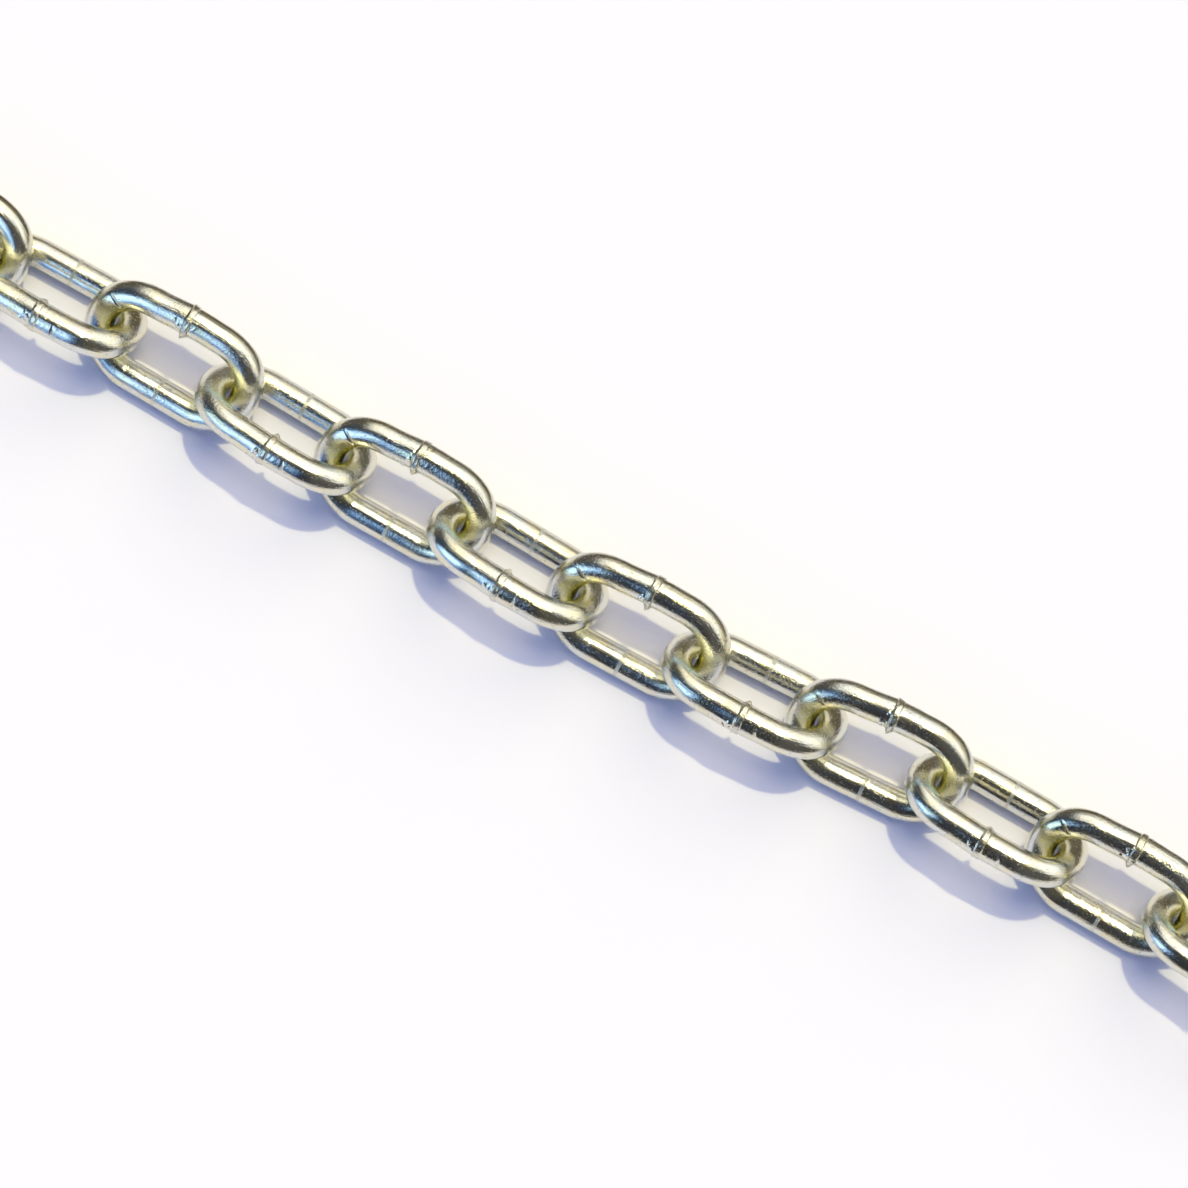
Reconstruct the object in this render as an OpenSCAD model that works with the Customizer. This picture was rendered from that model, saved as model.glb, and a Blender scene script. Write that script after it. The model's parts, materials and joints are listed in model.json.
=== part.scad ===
// Welded steel link chain, lying stretched out on a floor.
// Each link is bent from one round wire and butt welded in the middle of one side.
// Links lean left and right in turn, each one hangs in the bend of the link before it,
// and every link rests on the floor with the side that has no weld.
// X runs along the chain, Z points up, and the floor is at Z = 0.

/* [Chain] */
// Number of links
link_count = 20; // [4:1:40]
// Gap between the wires of two links where one hangs in the other
play = 0.35; // [0.2:0.05:0.5]
// Lean of each link's plane from the floor, in degrees
lean = 45; // [42:1:48]
// Sideways offset between the left leaning and the right leaning links
stagger = 0.7; // [0:0.1:1]

/* [Link] */
// Diameter of the wire
wire_d = 5; // [4:0.5:5.5]
// Inside length of a link, which is also the pitch of a taut chain
inner_length = 22; // [20:0.5:30]
// Inside width of a link
inner_width = 10.5; // [10:0.5:14]

/* [Weld] */
// Length of the ring of weld metal along the wire
weld_length = 1; // [0.6:0.1:2.5]
// Height of the weld ring above the wire
weld_height = 0.3; // [0.1:0.05:0.5]
// Length of the taper at each side of the weld ring
weld_taper = 0.6; // [0.2:0.1:1]
// Width of the lip of squeezed out metal on the inner side of the weld
lip_width = 1.2; // [0.6:0.1:1.6]
// Height of that lip above the wire
lip_height = 0.8; // [0.3:0.05:1.2]

/* [Hidden] */
$fn = 64;
LINK_COLOR = [0.74, 0.77, 0.82];

// Small turns of the links from the line of the chain, in degrees, as a chain lies when laid down by hand
HEADINGS = [0, 1.5, -0.5, 1, -3, 0.5, -1, -1.5, 0, -1.5, 1, 2.5, 3.5, -0.5, -0.5, -1.5, 0.5, -1, 1, 0];

wire_r = wire_d / 2;
bend_r = (inner_width + wire_d) / 2;
side_length = inner_length - inner_width;
crown = (inner_length + wire_d) / 2;
weld_r = wire_r + weld_height;
lip_reach = wire_r + lip_height - lip_width / 2;
rest_height = wire_r + bend_r * sin(lean);

// The way the links lie. Even numbers lean left and odd numbers lean right.
function heading(i) = HEADINGS[i % len(HEADINGS)];
function side(i) = i % 2 == 0 ? 1 : -1;
function forward(i) = [cos(heading(i)), sin(heading(i)), 0];
function across(i) = side(i) * cos(lean) * [-sin(heading(i)), cos(heading(i)), 0] + [0, 0, sin(lean)];

// From the middle of link i to the middle of the next one
function middle_heading(i) = (heading(i) + heading(i + 1)) / 2;
function hang(i) = (wire_d + play) * [cos(middle_heading(i)), sin(middle_heading(i)), 0];
function offset_sideways(i) = -side(i) * stagger * [-sin(middle_heading(i)), cos(middle_heading(i)), 0];
function hop(i) = crown * forward(i) - hang(i) + crown * forward(i + 1) + offset_sideways(i);
function place(i) = i == 0 ? [0, 0, rest_height] : place(i - 1) + hop(i - 1);

// How far the wire and the weld of link i reach from its middle in a direction
function wire_reach(i, dir) =
    side_length / 2 * abs(forward(i) * dir)
    + bend_r * norm([forward(i) * dir, across(i) * dir])
    + wire_r;
function weld_reach(i, dir) =
    bend_r * (across(i) * dir)
    + weld_r * sqrt(1 - pow(forward(i) * dir, 2))
    + weld_length / 2 * abs(forward(i) * dir);
function reach(i, dir) = max(wire_reach(i, dir), weld_reach(i, dir));
function extent(dir) = max([for (i = [0 : link_count - 1]) place(i) * dir + reach(i, dir)]);

// The chain's middle on the floor becomes the origin
center = [extent([1, 0, 0]) - extent([-1, 0, 0]), extent([0, 1, 0]) - extent([0, -1, 0]), 0] / 2;

// One of the two round ends of a link, with its open side towards the middle
module bend() {
    translate([side_length / 2, 0, 0])
        rotate([0, 0, -90])
            rotate_extrude(angle = 180)
                translate([bend_r, 0])
                    circle(r = wire_r);
}

// One of the two straight sides of a link
module straight_side() {
    rotate([0, 90, 0])
        cylinder(r = wire_r, h = side_length, center = true);
}

// The ring that the butt weld leaves round the wire, with a lip on the inner side
module weld() {
    rotate([0, 90, 0]) {
        cylinder(r = weld_r, h = weld_length, center = true);
        for (end = [0, 1])
            mirror([0, 0, end])
                translate([0, 0, weld_length / 2])
                    cylinder(r1 = weld_r, r2 = wire_r, h = weld_taper);
    }
    rotate([90, 0, 0])
        cylinder(d = lip_width, h = lip_reach);
    translate([0, -lip_reach, 0])
        sphere(d = lip_width);
}

// A link that lies flat in the XY plane, with its weld on the +Y side
module flat_link() {
    for (end = [0, 1])
        mirror([end, 0, 0])
            bend();
    for (end = [-1, 1])
        translate([0, end * bend_r, 0])
            straight_side();
    translate([0, bend_r, 0])
        weld();
}

// Link number i, leaning and turned as it lies in the chain
module chain_link(i) {
    color(LINK_COLOR)
        translate(place(i) - center)
            rotate([0, 0, heading(i)])
                rotate([side(i) > 0 ? lean : 180 - lean, 0, 0])
                    flat_link();
}

for (i = [0 : link_count - 1])
    chain_link(i);
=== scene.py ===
"""A length of welded steel link chain, bright zinc plated, laid out straight on a white floor.

Each link is swept along its own bent wire: two straight sides, two round ends, the ring and the
lip of the butt weld, and the small marks that the bending tools left.
"""
import json
import math

import bmesh
import bpy
import numpy as np
from mathutils import Matrix, Vector


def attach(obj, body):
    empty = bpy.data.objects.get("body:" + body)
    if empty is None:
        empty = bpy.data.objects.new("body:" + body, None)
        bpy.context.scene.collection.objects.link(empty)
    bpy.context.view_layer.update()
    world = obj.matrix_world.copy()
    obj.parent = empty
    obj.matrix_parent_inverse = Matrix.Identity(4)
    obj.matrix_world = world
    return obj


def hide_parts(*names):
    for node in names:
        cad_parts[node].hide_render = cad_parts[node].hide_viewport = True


MM = 0.001

# The chain's sizes in millimetres, the same as in the part
WIRE_R = 2.5
INNER_LENGTH = 22.0
INNER_WIDTH = 10.5
PLAY = 0.35
LEAN = math.radians(45)
STAGGER = 0.7
WELD_HEIGHT = 0.3
LIP_HEIGHT = 0.8
HEADINGS = [0, 1.5, -0.5, 1, -3, 0.5, -1, -1.5, 0, -1.5, 1, 2.5, 3.5, -0.5, -0.5, -1.5, 0.5, -1, 1, 0]

BEND_R = INNER_WIDTH / 2 + WIRE_R
SIDE_LENGTH = INNER_LENGTH - INNER_WIDTH
CROWN = INNER_LENGTH / 2 + WIRE_R
WIRE_LENGTH = 2 * SIDE_LENGTH + 2 * math.pi * BEND_R


def smooth(edge0, edge1, x):
    """Goes smoothly from 0 at edge0 to 1 at edge1."""
    t = np.clip((x - edge0) / (edge1 - edge0), 0, 1)
    return t * t * (3 - 2 * t)


def bump(x, width):
    """A smooth hump of height 1 at 0 that has faded at about twice its width."""
    return np.exp(-(x / width) ** 2)


# Where the links lie

def by_lean(i, left, right):
    """The value for a left leaning link or for a right leaning one."""
    return left if i % 2 == 0 else right


def lean_side(i):
    """1 where link i leans left, and -1 where it leans right."""
    return by_lean(i, 1, -1)


def forward(i):
    """Direction of link i's long axis."""
    a = math.radians(HEADINGS[i])
    return Vector((math.cos(a), math.sin(a), 0))


def across(i):
    """Direction from the middle of link i to the middle of its welded side."""
    f = forward(i)
    flat = Vector((-f.y, f.x, 0)) * lean_side(i) * math.cos(LEAN)
    return flat + Vector((0, 0, math.sin(LEAN)))


def hop(i):
    """From the middle of link i to the middle of the next one."""
    mid = math.radians((HEADINGS[i] + HEADINGS[i + 1]) / 2)
    ahead = Vector((math.cos(mid), math.sin(mid), 0))
    left = Vector((-math.sin(mid), math.cos(mid), 0))
    overlap = 2 * WIRE_R + PLAY
    return CROWN * (forward(i) + forward(i + 1)) - overlap * ahead - lean_side(i) * STAGGER * left


def link_places():
    """Middle of each link in millimetres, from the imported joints, which sit in the links' ends."""
    places = []
    for i, joint in enumerate(sorted(frame["joints"], key=lambda j: j["name"])):
        places.append(Vector(joint["pos_m"]) / MM - CROWN * forward(i))
    places.append(places[-1] + hop(len(places) - 1))
    return places


# The wire of one link, with its weld and tool marks

# A place on a link is given by its arc length along the wire, in millimetres from the middle of the
# welded side, and by its angle round the wire: 0 faces outward and half a turn faces the link's eye.

# The mesh: points round the wire, distance between the rings of points, and where they are finer
SEGMENTS = 88
RING_STEP = 0.6
FINE_STEP = 0.08
WELD_REACH = 2.4
MARK_REACH = 0.8

# Seeds of the random numbers; each link adds its own number
WELD_SEED = 100
MARK_SEED = 300
SLIP_SEED = 500
WAVE_SEED = 700

# How far the welded side bows outward, where along the wire, and how wide each bow is
BOWS = ((0.35, 12.5, 3), (-0.5, -6, 4.5), (-0.15, 6, 2.5))

# The unevenness of the drawn wire, how far it is stretched along the wire, and how many times that
# the wire is thinner than the part's plain wire, so that it never reaches outside it
WAVINESS = 0.012
WAVE_STRETCH = 3.1
THINNER_TIMES = 1.8

# The bead round the wire: its place, how it wanders and jags, its half width and how square it is
BEAD_MIDDLE = 0.25
BEAD_WANDER = 0.16
BEAD_JAG = 0.25
BEAD_HALF_WIDTH = 0.62
BEAD_SQUARENESS = 4

# Its height: how far under the part's weld it stays, its lowest, usual and highest share of that,
# how uneven the share is, and its ripples
BEAD_LOWER = 0.08
BEAD_SHARE = (0.55, 0.88, 1)
BEAD_UNEVENNESS = 0.16
RIPPLE_HEIGHT = 0.03

# The extra metal on the upper side of left leaning links' beads
THICK_HEIGHT = 0.22
THICK_ANGLE = math.radians(115)
THICK_WIDTH = 0.6

# The low swell on both sides of the bead, and the middle of the swell and of the lip
SWELL_HEIGHT = 0.06
SWELL_WIDTH = 2.2
WELD_MIDDLE = 0.2

# The lip of squeezed out metal in the link's eye: its height, its turn upward, its widths in angle
# and along the wire, and how much its angle and its place differ from link to link
LIP_PROUD = 0.5
LIP_TURN = 0.5
LIP_ROUND = 0.26
LIP_ALONG = 0.42
LIP_SPREAD_ROUND = 0.2
LIP_SPREAD_ALONG = 0.1

# The fine spatter beside the bead
SPATTER_HEIGHT = 0.022
SPATTER_MIDDLE = 1.4
SPATTER_WIDTH = 2.4

# The thin crest along the outside of the wire: its angle in degrees, which grows from link to link,
# its height and width, and where along the wire it rises and fades
CREST_DEGREES = 6
CREST_DEGREES_PER_LINK = 2
CREST_HEIGHT = 0.06
CREST_WIDTH = 0.11
CREST_RISES = (0.8, 1.6)
CREST_FADES = (9, 6)

# The drops of metal beside the bead: middle and spread of their places, their sizes and flatness
DROP_COUNT = 6
DROP_PLACE = (-0.7, 0.7)
DROP_ANGLE_LEFT = math.radians(100)
DROP_ANGLE_RIGHT = math.radians(8)
DROP_ANGLE_SPREAD = 0.45
DROP_SIZES = (0.2, 0.42)
DROP_FLATNESS = 0.55

# Apart from the extra metal, the weld stays this far under the height of the part's weld and lip
TOP_MARGIN = 0.03

# How far the weld's duller look spreads over the wire beside the bead
DULL_SHARE = 0.15
DULL_MIDDLE = 1
DULL_WIDTH = 2

# The notch of the bending tool: arc length and angle on left leaning and on right leaning links
MARK_LEFT = (-12.0, math.radians(85))
MARK_RIGHT = (3.8, math.radians(8))
MARK_SPREAD = 0.5
MARK_DEPTH = 0.22
MARK_ALONG = 0.2
MARK_ROUND = 0.42
MARK_SLANT = 0.5

# Ranges of how far the wire's two ends have slipped past each other, and how soon that fades
SLIP_OUT = (0.02, 0.06)
SLIP_UP = (0.04, 0.1)
SLIP_FADE = 2.5

# The pattern on each link starts this much further along than on the link before it
PATTERN_STEP = 97.0

# The hollow of each round end, where the yellow passivate is joined by painted interreflection from the
# neighbouring links: how far before the bend it begins, how far into the bend it is full, and the cosines
# between which it comes on round the wire
HOLLOW_BEFORE = 1
HOLLOW_INTO = 4
HOLLOW_ROUND = (0.1, 0.9)


def mark_place(i):
    """Arc length and angle of the notch that the bending tool pressed into the wire of link i."""
    rng = np.random.default_rng(MARK_SEED + i)
    s, angle = by_lean(i, MARK_LEFT, MARK_RIGHT)
    return s + rng.uniform(-MARK_SPREAD, MARK_SPREAD), angle


def ring_places(i):
    """Arc lengths of the rings of points round link i, close together at its weld and its mark."""
    count = int(WIRE_LENGTH / RING_STEP)
    places = np.linspace(-WIRE_LENGTH / 2, WIRE_LENGTH / 2, count, endpoint=False)
    for middle, reach in ((0, WELD_REACH), (mark_place(i)[0], MARK_REACH)):
        apart = places[np.abs(places - middle) > reach + FINE_STEP]
        places = np.concatenate([apart, np.arange(middle - reach, middle + reach, FINE_STEP)])
    return np.sort(places)


def sag(s):
    """How far the welded side lies outside its straight line, as bending left it."""
    return sum(height * bump(s - place, width) for height, place, width in BOWS)


def wire_axis(s):
    """Middle of the wire and its outward direction at each arc length, in the link's own plane."""
    a = SIDE_LENGTH / 2
    quarter = a + math.pi * BEND_R
    t = np.abs(s)
    turn = np.clip((t - a) / BEND_R, 0, math.pi)
    x = np.where(t < a, t, np.where(t < quarter, a + BEND_R * np.sin(turn), a - (t - quarter)))
    y = BEND_R * np.cos(turn)
    sign = np.sign(s) + (s == 0)
    outward = np.stack([np.sin(turn) * sign, np.cos(turn)], 1)
    return np.stack([x * sign, y], 1) + sag(s)[:, None] * outward, outward


def wave(rng, phase, orders, size):
    """A smooth uneven line: random waves of the given orders over the phase."""
    total = np.zeros_like(phase)
    for k in orders:
        total += rng.uniform(0.4, 1.0) * np.sin(k * phase + rng.uniform(0, 2 * math.pi)) / k
    return size * total


def angle_from(angle, middle):
    """Difference of two angles, between minus and plus half a turn."""
    return (angle - middle + math.pi) % (2 * math.pi) - math.pi


def bead(x):
    """A bead with a broad round top and steep flanks."""
    return np.sqrt(1 - np.clip(np.abs(x) / BEAD_HALF_WIDTH, 0, 1) ** BEAD_SQUARENESS)


def bead_height(rng, i, s, angle):
    """Height of the uneven bead and of the swell it sits on, its thick side, and its mask."""
    middle = BEAD_MIDDLE + wave(rng, angle, (1, 2, 3), BEAD_WANDER) + wave(rng, angle, (5, 7, 11), BEAD_JAG)
    ring = bead(s - middle)
    thick = by_lean(i, THICK_HEIGHT, 0) * bump(angle_from(angle, THICK_ANGLE), THICK_WIDTH)
    lowest, usual, highest = BEAD_SHARE
    share = np.clip(usual + wave(rng, angle, (2, 3, 5), BEAD_UNEVENNESS), lowest, highest)
    height = (WELD_HEIGHT - BEAD_LOWER + thick) * ring * share
    height += SWELL_HEIGHT * bump(s - WELD_MIDDLE, SWELL_WIDTH)
    height += RIPPLE_HEIGHT * ring * wave(rng, 4 * angle + 5 * s, (1, 2, 3), 1.0)
    return height, thick, ring


def lip_shape(rng, i, s, angle):
    """The lip in the link's eye, from 0 to 1. Its slant and its place differ from link to link."""
    lip_angle = math.pi - LIP_TURN * lean_side(i) + rng.uniform(-LIP_SPREAD_ROUND, LIP_SPREAD_ROUND)
    around = bump(angle_from(angle, lip_angle), LIP_ROUND)
    shift = rng.uniform(-LIP_SPREAD_ALONG, LIP_SPREAD_ALONG)
    return around * bump(s - WELD_MIDDLE - shift, LIP_ALONG)


def spatter_height(rng, i, s, angle):
    """Fine roughness that the weld's sparks left beside the bead."""
    grains = wave(rng, 3 * angle + 2.2 * s, (1, 2, 3), 1.0) * np.cos(4.1 * s + 2 * angle + i)
    return SPATTER_HEIGHT * bump(s - SPATTER_MIDDLE, SPATTER_WIDTH) * grains


def crest_height(rng, i, s, angle):
    """A thin crest that runs along the outside of the wire from the bead."""
    crest_angle = math.radians(CREST_DEGREES + CREST_DEGREES_PER_LINK * i)
    crest = bump(angle_from(angle, crest_angle), CREST_WIDTH)
    crest = crest * smooth(*CREST_RISES, s) * smooth(*CREST_FADES, s)
    return CREST_HEIGHT * crest * (0.6 + wave(rng, s, (1, 3, 5), 0.4))


def drops_height(rng, i, s, angle):
    """Small drops of weld metal that stuck to the wire beside the bead."""
    height = np.zeros_like(s)
    for _ in range(DROP_COUNT):
        drop_s = rng.normal(*DROP_PLACE)
        drop_angle = rng.normal(by_lean(i, DROP_ANGLE_LEFT, DROP_ANGLE_RIGHT), DROP_ANGLE_SPREAD)
        size = rng.uniform(*DROP_SIZES)
        off = np.hypot(s - drop_s, WIRE_R * angle_from(angle, drop_angle)) / size
        height = np.maximum(height, DROP_FLATNESS * size * np.sqrt(1 - np.clip(off, 0, 1) ** 2))
    return height


def weld_shape(i, s, angle):
    """Height of all weld metal on link i, and a mask of where it is."""
    rng = np.random.default_rng(WELD_SEED + i)
    height, thick, ring = bead_height(rng, i, s, angle)
    lip = lip_shape(rng, i, s, angle)
    height += LIP_PROUD * lip
    height += spatter_height(rng, i, s, angle)
    height += crest_height(rng, i, s, angle)
    height += drops_height(rng, i, s, angle)
    highest = WELD_HEIGHT - TOP_MARGIN + thick + LIP_HEIGHT * lip
    mask = np.clip(ring + 2 * lip + DULL_SHARE * bump(s - DULL_MIDDLE, DULL_WIDTH), 0, 1)
    return np.minimum(height, highest), mask


def tool_mark(i, s, angle):
    """Shape of the slanting notch that the bending tool pressed into the wire, from 0 to 1."""
    mark_s, mark_angle = mark_place(i)
    turn = angle_from(angle, mark_angle)
    return bump(s - mark_s - MARK_SLANT * turn, MARK_ALONG) * bump(turn, MARK_ROUND)


def wire_height(i, s, angle):
    """How far the surface stands above the plain wire, in millimetres, and where the weld is."""
    height, weld = weld_shape(i, s, angle)
    rng = np.random.default_rng(WAVE_SEED + i)
    waviness = wave(rng, angle, (1, 2, 3), 0.5) * np.sin(s / WAVE_STRETCH + i)
    return height - MARK_DEPTH * tool_mark(i, s, angle) - WAVINESS * (THINNER_TIMES + waviness), weld


def wire_surface(i, s, angle, height):
    """Points of the surface of link i, with a small step where the wire's two ends meet."""
    axis, outward = wire_axis(s[:, 0])
    rng = np.random.default_rng(SLIP_SEED + i)
    slip = np.sign(s) * np.exp(-np.abs(s) / SLIP_FADE)
    slip_out = -rng.uniform(*SLIP_OUT)
    slip_up = rng.uniform(*SLIP_UP) * rng.choice([-1, 1])
    radius = WIRE_R + height
    out = radius * np.cos(angle) + slip * slip_out
    points = np.zeros(s.shape + (3,))
    points[..., 0] = axis[:, None, 0] + out * outward[:, None, 0]
    points[..., 1] = axis[:, None, 1] + out * outward[:, None, 1]
    points[..., 2] = radius * np.sin(angle) + slip * slip_up
    return points


def ring_faces(rings):
    """Faces between neighbouring rings of points, closed both round the wire and round the link."""
    faces = []
    for a in range(rings):
        b = (a + 1) % rings
        for c in range(SEGMENTS):
            d = (c + 1) % SEGMENTS
            faces.append((a * SEGMENTS + c, a * SEGMENTS + d, b * SEGMENTS + d, b * SEGMENTS + c))
    return faces


def hollow_mask(s, angle):
    """1 on the inner side of the round ends, where the next link hangs, and 0 elsewhere."""
    bend_start = SIDE_LENGTH / 2
    bend_end = WIRE_LENGTH / 2 - SIDE_LENGTH / 2
    around_bend = smooth(bend_start - HOLLOW_BEFORE, bend_start + HOLLOW_INTO, np.abs(s))
    around_bend *= smooth(bend_end + HOLLOW_BEFORE, bend_end - HOLLOW_INTO, np.abs(s))
    return around_bend * smooth(*HOLLOW_ROUND, -np.cos(angle))


def add_mask(mesh, name, values):
    """Stores one number per point of the mesh, for its material."""
    mask = mesh.attributes.new(name, "FLOAT", "POINT")
    mask.data.foreach_set("value", values.reshape(-1).astype(np.float32))


def add_wire_pattern(mesh, i, s, angle):
    """Stores each point's place on the straight wire before bending, which carries the patterns."""
    pattern = np.stack([s + PATTERN_STEP * i, WIRE_R * np.cos(angle), WIRE_R * np.sin(angle)], -1)
    wire = mesh.attributes.new("wire", "FLOAT_VECTOR", "POINT")
    wire.data.foreach_set("vector", pattern.reshape(-1).astype(np.float32))


def link_mesh(i, name):
    """The surface of link i as a mesh in its own frame, weld on the +Y side."""
    around = np.arange(SEGMENTS) * 2 * math.pi / SEGMENTS
    s, angle = np.meshgrid(ring_places(i), around, indexing="ij")
    height, weld = wire_height(i, s, angle)
    points = wire_surface(i, s, angle, height)
    mesh = bpy.data.meshes.new(name)
    mesh.from_pydata((points.reshape(-1, 3) * MM).tolist(), [], ring_faces(len(s)))
    add_wire_pattern(mesh, i, s, angle)
    add_mask(mesh, "weld", weld)
    add_mask(mesh, "hollow", hollow_mask(s, angle))
    for polygon in mesh.polygons:
        polygon.use_smooth = True
    mesh.update()
    return mesh


def make_link(i, place, node, material):
    """Link i, standing where its CAD node is."""
    mesh = link_mesh(i, node + "_wire")
    x = forward(i)
    y = across(i)
    z = x.cross(y)
    turn = Matrix((x, y, z)).transposed().to_4x4()
    mesh.transform(Matrix.Translation(place * MM) @ turn)
    mesh.materials.append(material)
    link = bpy.data.objects.new(node + "_wire", mesh)
    bpy.context.scene.collection.objects.link(link)
    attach(link, node)
    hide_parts(node)


# Materials

# The plating: its tints, and the colours of the hollows (partly the yellow passivate, partly painted
# interreflection), the weld and the pits with their shares
TINTS = (
    (0.32, (0.68, 0.71, 0.68, 1)),
    (0.50, (0.71, 0.70, 0.62, 1)),
    (0.68, (0.74, 0.70, 0.51, 1)))
# Yellow of the hollows: partly the passivate, partly painted interreflection between the links
HOLLOW_PASSIVATE_AND_BOUNCE_COLOR = (0.80, 0.76, 0.38, 1)
HOLLOW_PASSIVATE_AND_BOUNCE_SHARE = 0.8
WELD_COLOR = (0.60, 0.57, 0.45, 1)
WELD_SHARE = 0.5
PIT_COLOR = (0.30, 0.29, 0.24, 1)
PIT_SHARE = 0.5

# How close together its patterns are along the wire and across it
STREAK_STRETCH = (0.12, 2.0, 2.0)
BLOTCH_STRETCH = (0.30, 0.5, 0.5)
PIT_STRETCH = (2.0, 2.8, 2.8)

# Its roughness, and how much rougher the weld and the pits are
ROUGHNESS = (0.12, 0.22)
WELD_ROUGHER = 0.08
PIT_ROUGHER = 0.2

# Its relief: the depth of all of it in metres, and the shares of the pits and of the weld's skin
RELIEF_DEPTH = 0.00005
PIT_RELIEF = -0.15
WELD_RELIEF = 2.0


class Nodes:
    """Short calls that add and connect shader nodes."""

    def __init__(self, tree):
        self.tree = tree

    def add(self, kind, **settings):
        node = self.tree.nodes.new(kind)
        for key, value in settings.items():
            setattr(node, key, value)
        return node

    def link(self, out, into):
        self.tree.links.new(out, into)

    def put(self, value, into):
        """Sets a socket to a number or a colour, or links an output to it."""
        if isinstance(value, (int, float, tuple)):
            into.default_value = value
        else:
            self.link(value, into)

    def math(self, operation, a, b=0.0):
        node = self.add("ShaderNodeMath", operation=operation)
        self.put(a, node.inputs[0])
        self.put(b, node.inputs[1])
        return node.outputs[0]

    def noise(self, vector, scale, detail=2.0, roughness=0.5):
        node = self.add("ShaderNodeTexNoise")
        self.link(vector, node.inputs["Vector"])
        node.inputs["Scale"].default_value = scale
        node.inputs["Detail"].default_value = detail
        node.inputs["Roughness"].default_value = roughness
        return node.outputs["Fac"]

    def stretch(self, vector, scale):
        node = self.add("ShaderNodeVectorMath", operation="MULTIPLY")
        self.link(vector, node.inputs[0])
        node.inputs[1].default_value = scale
        return node.outputs[0]

    def split(self, vector):
        """The three coordinates of a vector."""
        node = self.add("ShaderNodeSeparateXYZ")
        self.link(vector, node.inputs[0])
        return node.outputs

    def remap(self, value, low, high, to_low=0.0, to_high=1.0):
        """Goes in a straight line from to_low at low to to_high at high."""
        node = self.add("ShaderNodeMapRange")
        self.link(value, node.inputs["Value"])
        for key, number in (("From Min", low), ("From Max", high), ("To Min", to_low), ("To Max", to_high)):
            node.inputs[key].default_value = number
        return node.outputs["Result"]

    def fade(self, value, edge0, edge1):
        """Goes smoothly from 0 at edge0 to 1 at edge1."""
        node = self.add("ShaderNodeMapRange", interpolation_type="SMOOTHSTEP")
        self.link(value, node.inputs["Value"])
        node.inputs["From Min"].default_value = edge0
        node.inputs["From Max"].default_value = edge1
        return node.outputs["Result"]

    def facing(self, direction, towards):
        """Cosine of the angle between two directions."""
        node = self.add("ShaderNodeVectorMath", operation="DOT_PRODUCT")
        self.link(direction, node.inputs[0])
        node.inputs[1].default_value = Vector(towards).normalized()
        return node.outputs["Value"]

    def mix(self, factor, a, b):
        """Colour a where the factor is 0, and colour b where it is 1."""
        node = self.add("ShaderNodeMix", data_type="RGBA")
        self.put(factor, node.inputs["Factor"])
        self.put(a, node.inputs["A"])
        self.put(b, node.inputs["B"])
        return node.outputs["Result"]

    def ramp(self, value, stops):
        node = self.add("ShaderNodeValToRGB")
        self.link(value, node.inputs["Fac"])
        elements = node.color_ramp.elements
        while len(elements) < len(stops):
            elements.new(0.5)
        for element, (position, color) in zip(elements, stops):
            element.position = position
            element.color = color
        return node.outputs["Color"]


def zinc_color(n, wire, pits, weld, hollow):
    """Bluish and yellowish plating, duller at the weld and in pits; the hollows are more yellow, partly
    from the passivate and partly as painted interreflection.
    """
    blotches = n.noise(n.stretch(wire, BLOTCH_STRETCH), 1.0, 2.0)
    tint = n.ramp(blotches, TINTS)
    # Painted interreflection on top of the yellow passivate, in the hollows of the round ends
    tint = n.mix(n.math("MULTIPLY", hollow, HOLLOW_PASSIVATE_AND_BOUNCE_SHARE), tint, HOLLOW_PASSIVATE_AND_BOUNCE_COLOR)
    tint = n.mix(n.math("MULTIPLY", weld, WELD_SHARE), tint, WELD_COLOR)
    return n.mix(n.math("MULTIPLY", pits, PIT_SHARE), tint, PIT_COLOR)


def zinc_roughness(n, streaks, pits, weld):
    """Glossy with streaks that are a little duller, and duller at the weld and in pits."""
    rough = n.remap(streaks, 0.3, 0.7, *ROUGHNESS)
    rough = n.math("ADD", rough, n.math("MULTIPLY", weld, WELD_ROUGHER))
    return n.math("ADD", rough, n.math("MULTIPLY", pits, PIT_ROUGHER))


def zinc_relief(n, wire, streaks, pits, weld):
    """Drawing streaks, fine grain that comes and goes, pits, and the rougher skin of the weld."""
    patches = n.remap(n.noise(wire, 0.16, 1.0), 0.42, 0.62, 0.3, 1.2)
    grain = n.math("MULTIPLY", n.noise(wire, 3.2, 2.0, 0.6), patches)
    height = n.math("ADD", streaks, grain)
    height = n.math("ADD", height, n.math("MULTIPLY", pits, PIT_RELIEF))
    skin = n.math("MULTIPLY", n.noise(wire, 1.2, 3.0), n.math("MULTIPLY", weld, WELD_RELIEF))
    relief = n.add("ShaderNodeBump")
    relief.inputs["Strength"].default_value = 1.0
    relief.inputs["Distance"].default_value = RELIEF_DEPTH
    n.link(n.math("ADD", height, skin), relief.inputs["Height"])
    return relief.outputs["Normal"]


def zinc_material():
    """Bright zinc plate with a thin bluish and yellowish passivate over drawn wire."""
    material = bpy.data.materials.new("bright_zinc")
    material.use_nodes = True
    n = Nodes(material.node_tree)
    shader = material.node_tree.nodes["Principled BSDF"]
    shader.inputs["Metallic"].default_value = 1.0
    wire = n.add("ShaderNodeAttribute", attribute_name="wire").outputs["Vector"]
    weld = n.add("ShaderNodeAttribute", attribute_name="weld").outputs["Fac"]
    hollow = n.add("ShaderNodeAttribute", attribute_name="hollow").outputs["Fac"]
    streaks = n.noise(n.stretch(wire, STREAK_STRETCH), 1.0, 4.0, 0.65)
    pits = n.remap(n.noise(n.stretch(wire, PIT_STRETCH), 1.0, 1.0), 0.64, 0.72)
    n.link(zinc_color(n, wire, pits, weld, hollow), shader.inputs["Base Color"])
    n.link(zinc_roughness(n, streaks, pits, weld), shader.inputs["Roughness"])
    n.link(zinc_relief(n, wire, streaks, pits, weld), shader.inputs["Normal"])
    return material


# Camera, floor and lights

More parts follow.
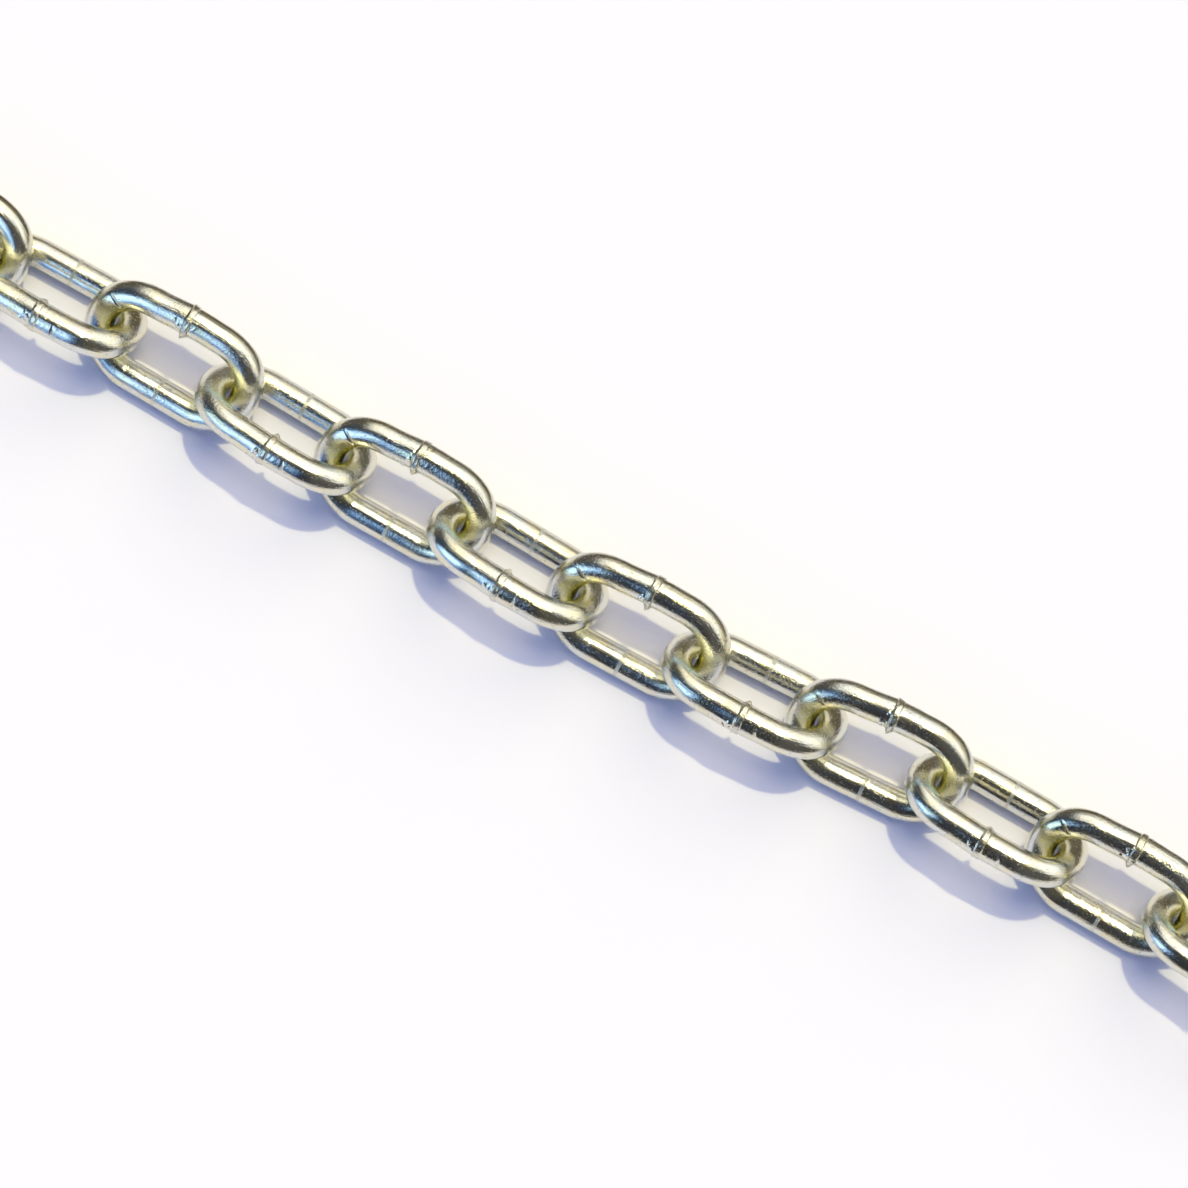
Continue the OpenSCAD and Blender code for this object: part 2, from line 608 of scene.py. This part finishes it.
# The camera, as the photograph has it: distances in millimetres, focal length in picture widths,
# and how near and how far it sees in metres
CAMERA_ELEVATION = math.radians(79.25)
CAMERA_AZIMUTH = math.radians(28.98)
CAMERA_ROLL = math.radians(0.98)
CAMERA_DISTANCE = 1160.0
CAMERA_TARGET = (1.54, 1.68, 0.0)
FOCAL_PICTURE_WIDTHS = 6.069
SENSOR_MM = 36.0
CLIP_NEAR = 0.01
CLIP_FAR = 20

# The floor, in metres, lies a hair under the links so that they never cut it
FLOOR_HALF = 4.0
FLOOR_Z = -0.00003
FLOOR_COLOR = (0.86, 0.86, 0.87, 1)

# The warm lamp, and the sky with its two warm patches that lights the floor. Directions are given
# along the chain, to its left, and up, and each patch by the cosines at which it begins and is full.
KEY_TOWARDS = (0.063, 0.36, 1.0)
KEY_ANGLE = math.radians(2)
KEY_STRENGTH = 1.35
KEY_COLOR = (1.0, 0.92, 0.50)
SKY_COLOR = (0.23, 0.31, 0.65, 1)
SOFT_TOWARDS = (0.1, 0.74, 0.66)
SOFT_EDGE = (0.88, 0.97)
SOFT_COLOR = (2.9, 2.55, 1.9, 1)
HALO_TOWARDS = (0.04, 0.22, 0.975)
HALO_EDGE = (0.960, 0.992)
HALO_COLOR = (6.5, 5.8, 4.9, 1)
BLACK = (0, 0, 0, 1)
WHITE = (1, 1, 1, 1)


def picture_axes():
    """Directions of the picture's right side, its top and back to the camera, in the part's frame."""
    e, a = CAMERA_ELEVATION, CAMERA_AZIMUTH
    back = Vector((math.cos(e) * math.sin(a), -math.cos(e) * math.cos(a), math.sin(e)))
    level = Vector((math.cos(a), math.sin(a), 0))
    top = back.cross(level)
    right = math.cos(CAMERA_ROLL) * level + math.sin(CAMERA_ROLL) * top
    return right, back.cross(right), back


def make_camera():
    """The camera at the photograph's viewing angle."""
    right, up, back = picture_axes()
    data = bpy.data.cameras.new("camera")
    data.sensor_width = SENSOR_MM
    data.lens = FOCAL_PICTURE_WIDTHS * SENSOR_MM
    data.clip_start = CLIP_NEAR
    data.clip_end = CLIP_FAR
    camera = bpy.data.objects.new("camera", data)
    turn = Matrix((right, up, back)).transposed().to_4x4()
    place = (Vector(CAMERA_TARGET) + back * CAMERA_DISTANCE) * MM
    camera.matrix_world = Matrix.Translation(place) @ turn
    bpy.context.scene.collection.objects.link(camera)
    bpy.context.scene.camera = camera


def one_face(name, corners):
    """A mesh that is a single four sided face."""
    mesh = bpy.data.meshes.new(name)
    mesh.from_pydata(corners, [], [(0, 1, 2, 3)])
    return mesh


def floor_material():
    """Matt white paper."""
    material = bpy.data.materials.new("white_floor")
    material.use_nodes = True
    shader = material.node_tree.nodes["Principled BSDF"]
    shader.inputs["Base Color"].default_value = FLOOR_COLOR
    shader.inputs["Roughness"].default_value = 1.0
    shader.inputs["Specular IOR Level"].default_value = 0.0
    return material


def make_floor():
    """The white floor that the chain lies on."""
    h = FLOOR_HALF
    mesh = one_face("floor", [(-h, -h, 0), (h, -h, 0), (h, h, 0), (-h, h, 0)])
    mesh.materials.append(floor_material())
    floor = bpy.data.objects.new("floor", mesh)
    floor.location.z = FLOOR_Z
    bpy.context.scene.collection.objects.link(floor)


def make_key():
    """A small warm lamp high on the chain's left side, which casts the crisp shadows."""
    data = bpy.data.lights.new("key", "SUN")
    data.angle = KEY_ANGLE
    data.energy = KEY_STRENGTH
    data.color = KEY_COLOR
    key = bpy.data.objects.new("key", data)
    key.rotation_euler = Vector(KEY_TOWARDS).to_track_quat("Z", "Y").to_euler()
    bpy.context.scene.collection.objects.link(key)


def make_world():
    """White behind everything, and a soft light for the floor: blue sky with two warm patches."""
    world = bpy.data.worlds.new("world")
    bpy.context.scene.world = world
    world.use_nodes = True
    n = Nodes(world.node_tree)
    output = world.node_tree.nodes["Background"]
    ray = n.add("ShaderNodeLightPath").outputs
    direction = n.add("ShaderNodeTexCoord").outputs["Generated"]
    soft = n.remap(n.facing(direction, SOFT_TOWARDS), *SOFT_EDGE)
    halo = n.remap(n.facing(direction, HALO_TOWARDS), *HALO_EDGE)
    fill = n.mix(soft, SKY_COLOR, SOFT_COLOR)
    fill = n.mix(halo, fill, HALO_COLOR)
    mirrored = n.math("MAXIMUM", ray["Is Glossy Ray"], ray["Is Transmission Ray"])
    seen = n.math("MAXIMUM", ray["Is Camera Ray"], mirrored)
    n.link(n.mix(seen, fill, WHITE), output.inputs["Color"])


# What only the metal mirrors

# The dark room, with its radius in metres and the share of its light that the floor gets back
# from the metal
DOME_RADIUS = 0.8
ROOM_STRENGTH = 1.45
FLOOR_SHARE = 0.15

# The bright opening. Its top and its low side are angles from straight up towards the left, and its
# start is a place along the chain: each has a soft edge from the first number to the second.
OPENING_COLOR = (1.0, 0.98, 0.90, 1)
OPENING_TOP = (0.15, 0.52)
OPENING_LOW = (1.48, 1.24)
OPENING_START = (-0.70, -0.42)

# Towards the last link's end the opening lies higher and is dimmer
TWIST_FROM = 0.5
TWIST = 0.3
RISE_EDGE = (0.5, 0.95)
RISE = 0.18
DIM_EDGE = (0.8, 0.97)
DIMMED = 0.55

# Colours of the room's right side and of its left side, each from the first link's end to the last's
DARK_BLUE = (0.030, 0.044, 0.064, 1)
DARKEST = (0.018, 0.018, 0.022, 1)
DARK_WARM = (0.070, 0.068, 0.062, 1)
LEFT_DARK = (0.075, 0.07, 0.06, 1)
LEFT_WARM = (0.31, 0.29, 0.235, 1)
LEFT_BRIGHT = (0.50, 0.47, 0.38, 1)

# The blue window on the chain's right side and the dark table on its left side, in metres
WINDOW_Y = -0.23
WINDOW_X = (-0.70, -0.06)
WINDOW_Z = (0.01, 0.54)
WINDOW_STRENGTH = 2.0
WINDOW_BLUES = (
    (0.0, BLACK),
    (0.35, (0.03, 0.10, 0.30, 1)),
    (0.7, (0.20, 0.40, 0.75, 1)),
    (1.0, (0.58, 0.81, 1.0, 1)))
TABLE_Y = 0.024
TABLE_Z = 0.0005
TABLE_COLOR = (0.13, 0.11, 0.07, 1)


def glow_material(name):
    """A glowing material with its shader nodes, its emission shader and its surface socket."""
    material = bpy.data.materials.new(name)
    material.use_nodes = True
    material.cycles.emission_sampling = "NONE"
    tree = material.node_tree
    tree.nodes.remove(tree.nodes["Principled BSDF"])
    n = Nodes(tree)
    return material, n, n.add("ShaderNodeEmission"), tree.nodes["Material Output"].inputs["Surface"]


def stage_for_mirrors(name, mesh, material):
    """A part of the studio that only shows in the metal."""
    mesh.materials.append(material)
    thing = bpy.data.objects.new(name, mesh)
    thing.visible_camera = False
    thing.visible_diffuse = False
    thing.visible_shadow = False
    bpy.context.scene.collection.objects.link(thing)


def room_color(n, along, left, up):
    """Colour of the dark room, with its bright opening, by direction from the chain's middle."""
    twist = n.math("MULTIPLY", n.math("MAXIMUM", along, TWIST_FROM), TWIST)
    tilt = n.math("ADD", n.math("ARCTAN2", left, up), twist)
    tilt = n.math("ADD", tilt, n.math("MULTIPLY", n.fade(along, *RISE_EDGE), RISE))
    dark_side = n.mix(n.remap(along, -0.5, 0.0), DARK_BLUE, DARKEST)
    dark_side = n.mix(n.fade(along, 0.02, 0.3), dark_side, DARK_WARM)
    left_side = n.mix(n.fade(along, -0.7, 0.0), LEFT_DARK, LEFT_WARM)
    left_side = n.mix(n.fade(along, 0.5, 0.9), left_side, LEFT_BRIGHT)
    room = n.mix(n.fade(tilt, 0.3, 0.8), dark_side, left_side)
    opening = n.math("MULTIPLY", n.fade(tilt, *OPENING_TOP), n.fade(tilt, *OPENING_LOW))
    opening = n.math("MULTIPLY", opening, n.fade(along, *OPENING_START))
    dimming = n.remap(n.fade(along, *DIM_EDGE), 0, 1, 1, DIMMED)
    opening = n.math("MULTIPLY", opening, dimming)
    return n.mix(opening, room, OPENING_COLOR)


def make_dome():
    """The room that the metal mirrors: dark, with a long bright opening over the chain's left side."""
    mesh = bpy.data.meshes.new("dome")
    shell = bmesh.new()
    bmesh.ops.create_uvsphere(shell, u_segments=64, v_segments=32, radius=DOME_RADIUS)
    shell.to_mesh(mesh)
    shell.free()
    material, n, glow, surface = glow_material("room_light")
    direction = n.add("ShaderNodeVectorMath", operation="NORMALIZE")
    n.link(n.add("ShaderNodeTexCoord").outputs["Object"], direction.inputs[0])
    n.link(room_color(n, *n.split(direction.outputs[0])), glow.inputs["Color"])
    # The metal throws only a small share of the room's light on to the floor
    bounces = n.add("ShaderNodeLightPath").outputs["Diffuse Depth"]
    direct = n.math("SUBTRACT", 1.0, n.math("MINIMUM", bounces, 1 - FLOOR_SHARE))
    n.link(n.math("MULTIPLY", direct, ROOM_STRENGTH), glow.inputs["Strength"])
    n.link(glow.outputs[0], surface)
    stage_for_mirrors("dome", mesh, material)


def make_window():
    """A pale blue window low on the chain's right side, near its first half."""
    (x0, x1), (z0, z1), y = WINDOW_X, WINDOW_Z, WINDOW_Y
    mesh = one_face("window", [(x0, y, z0), (x1, y, z0), (x1, y, z1), (x0, y, z1)])
    material, n, glow, surface = glow_material("window_light")
    along, _, up = n.split(n.add("ShaderNodeTexCoord").outputs["Generated"])
    rows = n.ramp(up, ((0.0, BLACK), (0.2, WHITE), (0.55, WHITE), (1.0, BLACK)))
    columns = n.ramp(along, ((0.0, BLACK), (0.28, WHITE), (0.91, WHITE), (1.0, BLACK)))
    n.link(n.ramp(n.math("MULTIPLY", rows, columns), WINDOW_BLUES), glow.inputs["Color"])
    glow.inputs["Strength"].default_value = WINDOW_STRENGTH
    # Added to a clear surface, so that the room shows behind it
    both = n.add("ShaderNodeAddShader")
    n.link(glow.outputs[0], both.inputs[0])
    n.link(n.add("ShaderNodeBsdfTransparent").outputs[0], both.inputs[1])
    n.link(both.outputs[0], surface)
    stage_for_mirrors("window", mesh, material)


def make_table_edge():
    """Dark table beyond the white sheet on the chain's left side, as the metal mirrors it."""
    near, far, z = TABLE_Y, DOME_RADIUS, TABLE_Z
    mesh = one_face("table", [(-far, near, z), (far, near, z), (far, far, z), (-far, far, z)])
    material, n, glow, surface = glow_material("dark_table")
    glow.inputs["Color"].default_value = TABLE_COLOR
    n.link(glow.outputs[0], surface)
    stage_for_mirrors("table", mesh, material)


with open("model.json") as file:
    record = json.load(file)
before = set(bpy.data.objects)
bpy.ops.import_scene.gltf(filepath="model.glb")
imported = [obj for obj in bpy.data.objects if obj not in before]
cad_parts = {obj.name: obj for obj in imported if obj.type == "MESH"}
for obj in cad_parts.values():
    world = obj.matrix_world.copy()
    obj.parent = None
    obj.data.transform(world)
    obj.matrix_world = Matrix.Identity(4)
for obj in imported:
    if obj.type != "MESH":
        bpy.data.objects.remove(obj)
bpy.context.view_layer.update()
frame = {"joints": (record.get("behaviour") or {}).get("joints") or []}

make_camera()
make_world()
make_key()
make_dome()
make_table_edge()
make_window()
make_floor()

zinc = zinc_material()
for number, link_place in enumerate(link_places()):
    make_link(number, link_place, "link_%02d" % (number + 1), zinc)

bpy.context.scene.view_settings.view_transform = "Standard"
